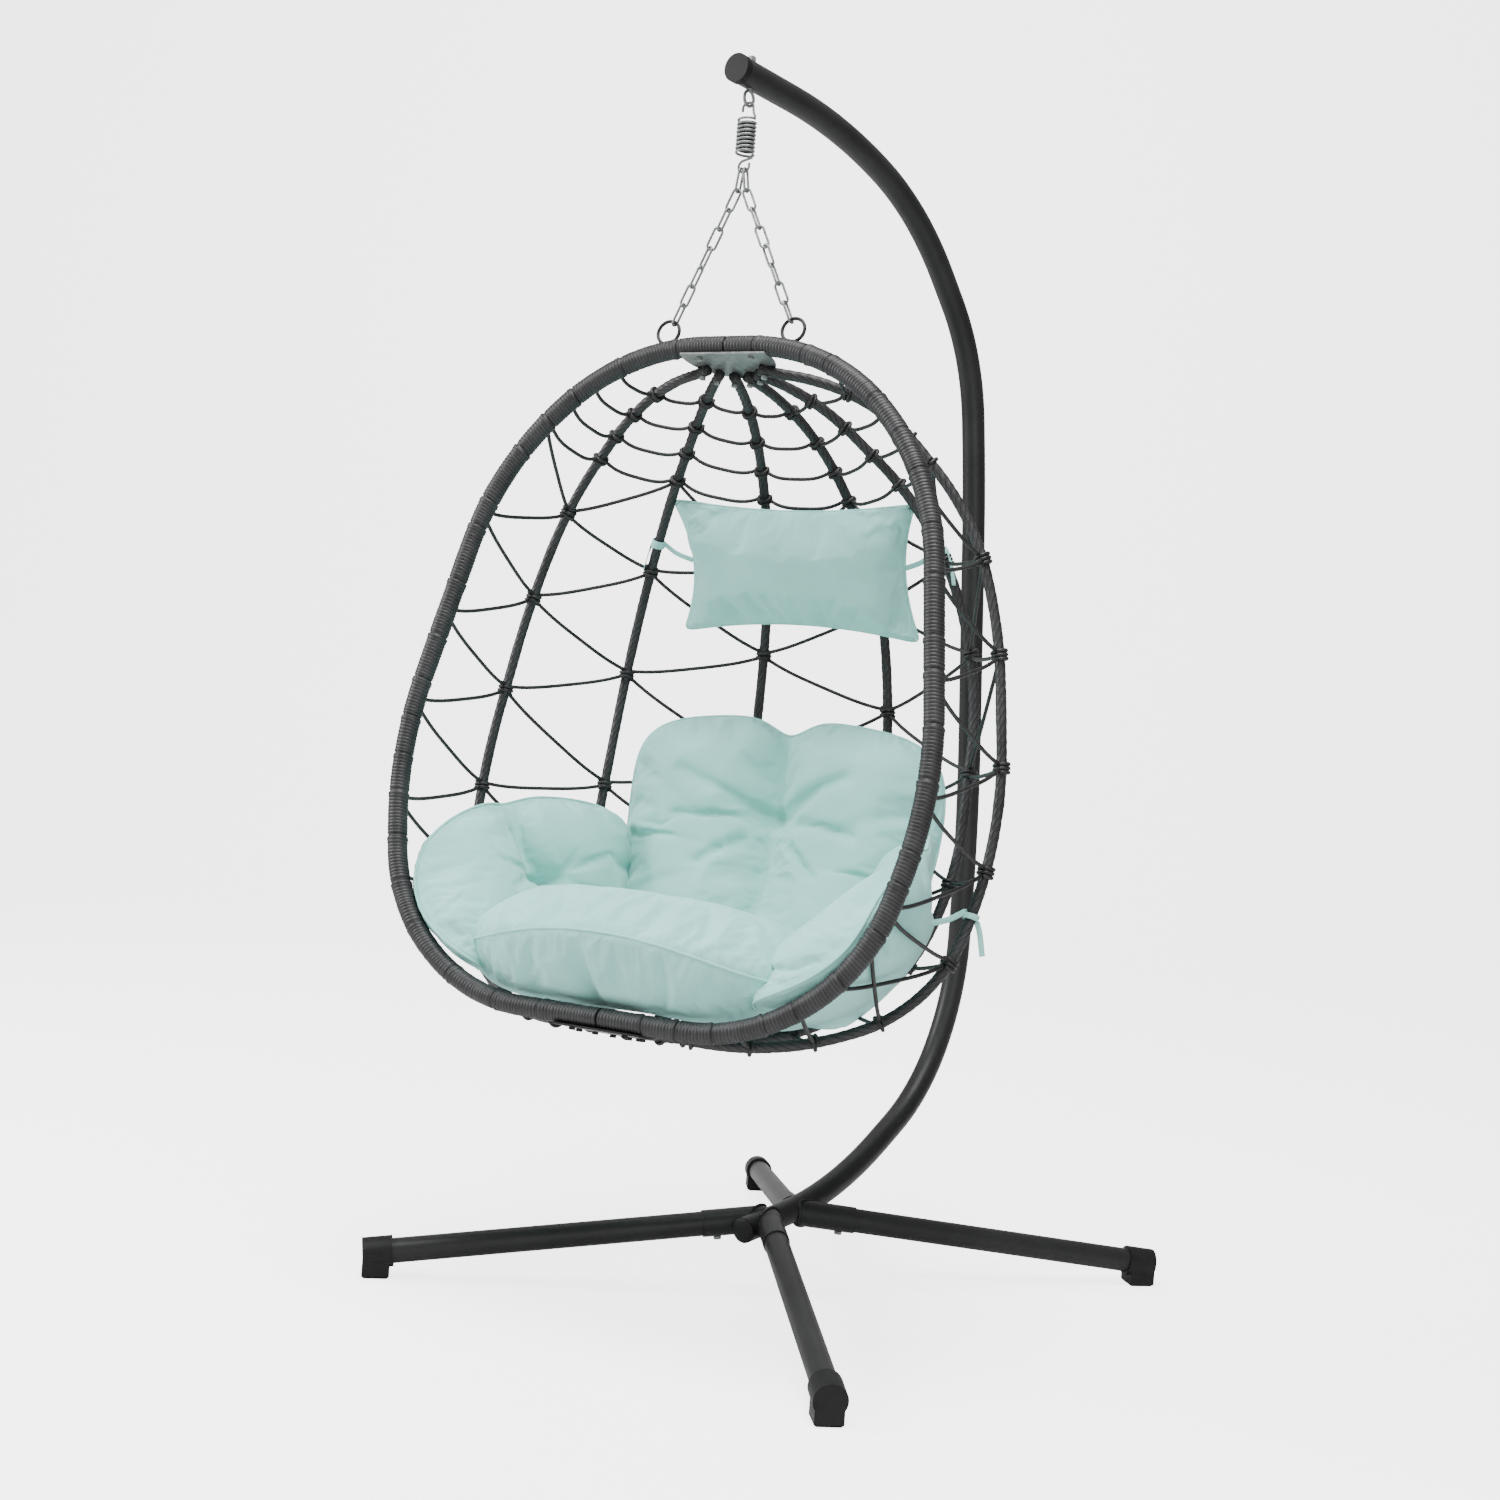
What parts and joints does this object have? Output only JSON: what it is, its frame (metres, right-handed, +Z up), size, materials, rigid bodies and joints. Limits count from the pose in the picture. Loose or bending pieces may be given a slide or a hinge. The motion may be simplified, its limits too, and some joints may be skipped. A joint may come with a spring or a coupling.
{
  "type": "hanging egg chair",
  "caption": "Egg-shaped swing chair of wrapped tube ribs and knotted cord, hung by chains and a spring from a curved pole on a four-legged stand, with tufted cushions.",
  "frame": {"origin": "on the floor under the middle of the whole object's bounding box", "axes": "+Z up, the chair faces -Y, +X to its right as seen from the front"},
  "size_m": [0.956, 1.1471, 1.9552],
  "materials": {
    "frame_paint": "satin powder coat, charcoal",
    "black_plastic": "moulded, matt",
    "zinc": "zinc plated",
    "wicker": "flat strand, wound close",
    "net_cord": "round strand",
    "cushion_fabric": "pale mint woven cloth",
    "pillow_fabric": "pale mint woven cloth"
  },
  "bodies": {
    "stand": {"eyebolt": "zinc", "eyebolt_nut": "zinc", "foot_front_left": "black_plastic", "foot_front_right": "black_plastic", "foot_rear_left": "black_plastic", "foot_rear_right": "black_plastic", "leg_bolts": "zinc", "leg_front_left": "frame_paint", "leg_front_right": "frame_paint", "leg_nuts": "zinc", "leg_rear_left": "frame_paint", "leg_rear_right": "frame_paint", "pole_bottom_plug": "black_plastic", "pole_lower": "frame_paint", "pole_top_cap": "black_plastic", "pole_upper": "frame_paint", "socket_front_left": "frame_paint", "socket_front_right": "frame_paint", "socket_rear_left": "frame_paint", "socket_rear_right": "frame_paint"},
    "spring": {"spring_upper_hook": "zinc", "spring_coil": "zinc", "spring_core": "black_plastic"},
    "spring_end": {"spring_lower_hook": "zinc"},
    "top_links": {"chain_top_links": "zinc"},
    "chains": {"chain_left": "zinc", "chain_right": "zinc"},
    "basket": {"arm_pad_left": "cushion_fabric", "arm_pad_right": "cushion_fabric", "back_pad": "cushion_fabric", "cushion_ties": "cushion_fabric", "head_pillow": "pillow_fabric", "hub_bolts": "zinc", "hub_plate_bottom": "zinc", "hub_plate_top": "zinc", "net_1": "net_cord", "net_2": "net_cord", "net_3": "net_cord", "net_4": "net_cord", "net_5": "net_cord", "net_6": "net_cord", "net_7": "net_cord", "pillow_ties": "pillow_fabric", "rib_1": "frame_paint", "rib_2": "frame_paint", "rib_3": "frame_paint", "rib_4": "frame_paint", "rib_5": "frame_paint", "rib_6": "frame_paint", "rib_wraps": "wicker", "rim_tube_left": "frame_paint", "rim_tube_right": "frame_paint", "rim_wrap_left": "wicker", "rim_wrap_right": "wicker", "ring_left": "frame_paint", "ring_right": "frame_paint", "seat_pad": "cushion_fabric"}
  },
  "joints": [
    {"name": "swivel", "type": "hinge", "parent": "stand", "child": "spring", "pos_m": [0, -0.292, 1.8904], "axis": [0, 0, 1], "range_deg": [-30, 30]},
    {"name": "spring_bounce", "type": "slide", "parent": "spring", "child": "spring_end", "axis": [0, 0, -1], "range_m": [-0.008, 0.05], "stiffness_N_per_m": 15000, "springref_m": -0.01623, "deforming": ["spring_coil"]},
    {"name": "side_swing", "type": "hinge", "parent": "spring_end", "child": "top_links", "pos_m": [0, -0.292, 1.7868], "axis": [-0.153, 0.9882, 0], "range_deg": [-12, 12]},
    {"name": "front_swing", "type": "hinge", "parent": "top_links", "child": "chains", "pos_m": [0, -0.292, 1.7537], "axis": [0.9882, 0.153, 0], "range_deg": [-20, 10]},
    {"name": "basket_rock", "type": "hinge", "parent": "chains", "child": "basket", "pos_m": [0, -0.292, 1.549], "axis": [0.9882, 0.153, 0], "range_deg": [-6, 6]}
  ]
}
